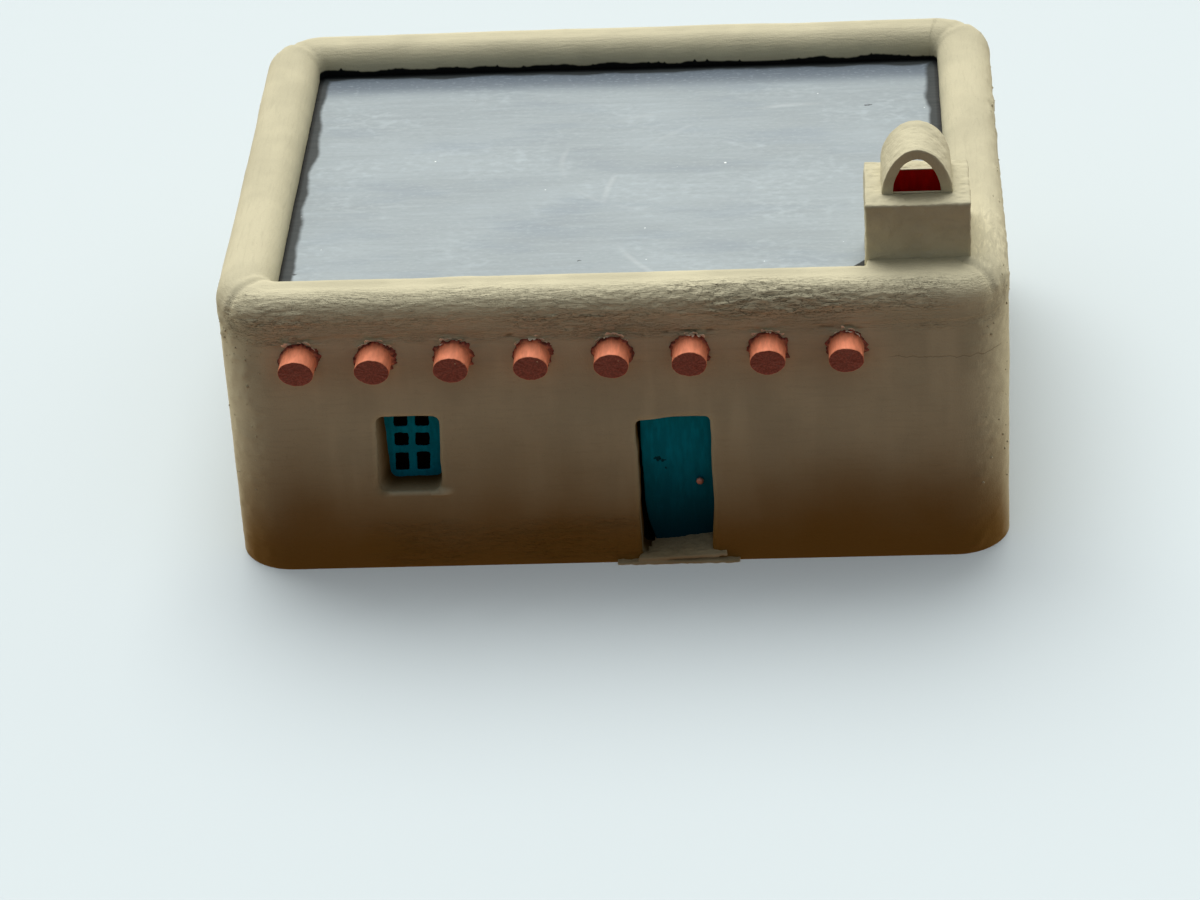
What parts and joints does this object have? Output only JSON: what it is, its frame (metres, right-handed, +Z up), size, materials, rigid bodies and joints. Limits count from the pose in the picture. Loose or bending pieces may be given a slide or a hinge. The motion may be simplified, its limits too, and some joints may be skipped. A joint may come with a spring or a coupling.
{
  "type": "scale model adobe house",
  "caption": "Small flat-roofed adobe house model with rounded parapet, row of round beam ends, teal door and window, and hooded corner chimney.",
  "frame": {"origin": "on the ground under the middle of the four walls", "axes": "+X to the right seen from the front, +Y to the back, +Z up"},
  "size_m": [0.07, 0.0571, 0.0376],
  "materials": {
    "wall_paint": "matte khaki paint over wood with raised grain and small cracks",
    "roof_slate": "satin slate-grey paint, scuffed and paler in the middle, dark along its edges",
    "floor_board": "bare wood",
    "viga_paint": "terracotta stain, darker on the end grain",
    "teal_paint": "matte brushed teal paint with dark scuffs",
    "dark_glazing": "near-black gloss",
    "copper_pin": "dull copper",
    "flue_red": "dark red paint"
  },
  "bodies": {
    "root": {"floor": "floor_board", "front_wall": "wall_paint", "back_wall": "wall_paint", "left_wall": "wall_paint", "right_wall": "wall_paint", "front_parapet": "wall_paint", "back_parapet": "wall_paint", "left_parapet": "wall_paint", "right_parapet": "wall_paint", "roof_board": "roof_slate", "viga_1": "viga_paint", "viga_2": "viga_paint", "viga_3": "viga_paint", "viga_4": "viga_paint", "viga_5": "viga_paint", "viga_6": "viga_paint", "viga_7": "viga_paint", "viga_8": "viga_paint", "window_board": "teal_paint", "window_glazing": "dark_glazing", "door_panel": "teal_paint", "door_knob": "copper_pin", "threshold": "wall_paint", "chimney_block": "wall_paint", "flue_lining": "flue_red", "chimney_hood": "wall_paint"}
  },
  "joints": []
}
